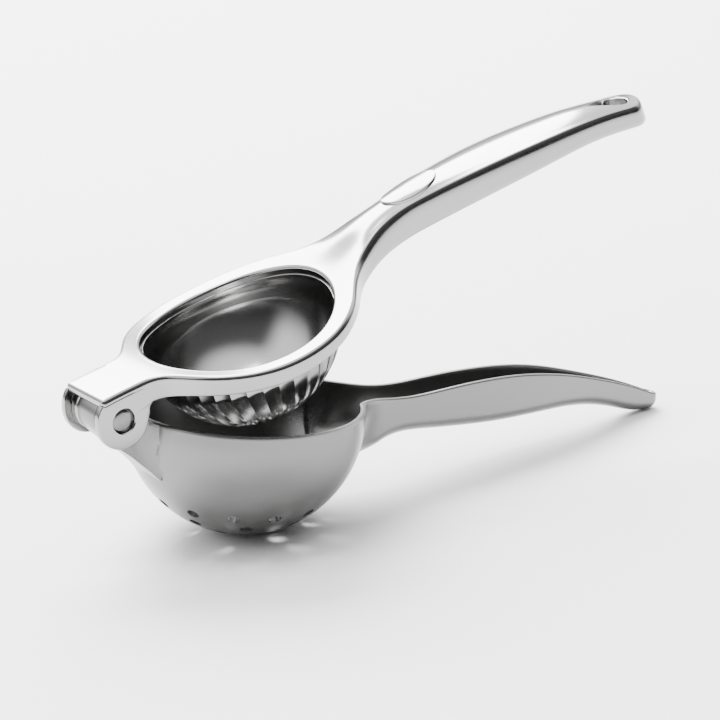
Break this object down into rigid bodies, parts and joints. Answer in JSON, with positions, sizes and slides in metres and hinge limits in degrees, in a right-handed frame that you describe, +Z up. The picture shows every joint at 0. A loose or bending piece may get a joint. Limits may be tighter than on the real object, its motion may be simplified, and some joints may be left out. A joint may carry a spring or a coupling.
{
  "type": "citrus press juicer",
  "caption": "Two-lever hand citrus press: a fluted press cup in a ring on the upper lever swings on a hinge pin into a perforated strainer cup with a channel handle.",
  "frame": {"origin": "centre of the small flat under the strainer cup, on the surface that the press stands on", "axes": "+X from the hinge towards the handles' ends, +Y along the hinge pin away from the near side, +Z up"},
  "size_m": [0.2138, 0.075, 0.107],
  "materials": {
    "polished_steel": "mirror polished stainless steel",
    "satin_steel": "fine satin stainless steel, bright at the edges",
    "turned_steel": "turned and lightly polished steel"
  },
  "bodies": {
    "lower_lever": {"strainer_cup": "satin_steel", "lower_handle": "satin_steel", "hinge_knuckle": "satin_steel"},
    "upper_lever": {"upper_lever": "polished_steel", "press_cup": "polished_steel", "badge_plate": "polished_steel", "hinge_pin": "turned_steel", "near_collar": "turned_steel", "far_collar": "turned_steel"}
  },
  "joints": [
    {"name": "hinge", "type": "hinge", "parent": "lower_lever", "child": "upper_lever", "pos_m": [-0.04839, 0, 0.04938], "axis": [0, -1, 0], "range_deg": [-22.2, 95]}
  ]
}
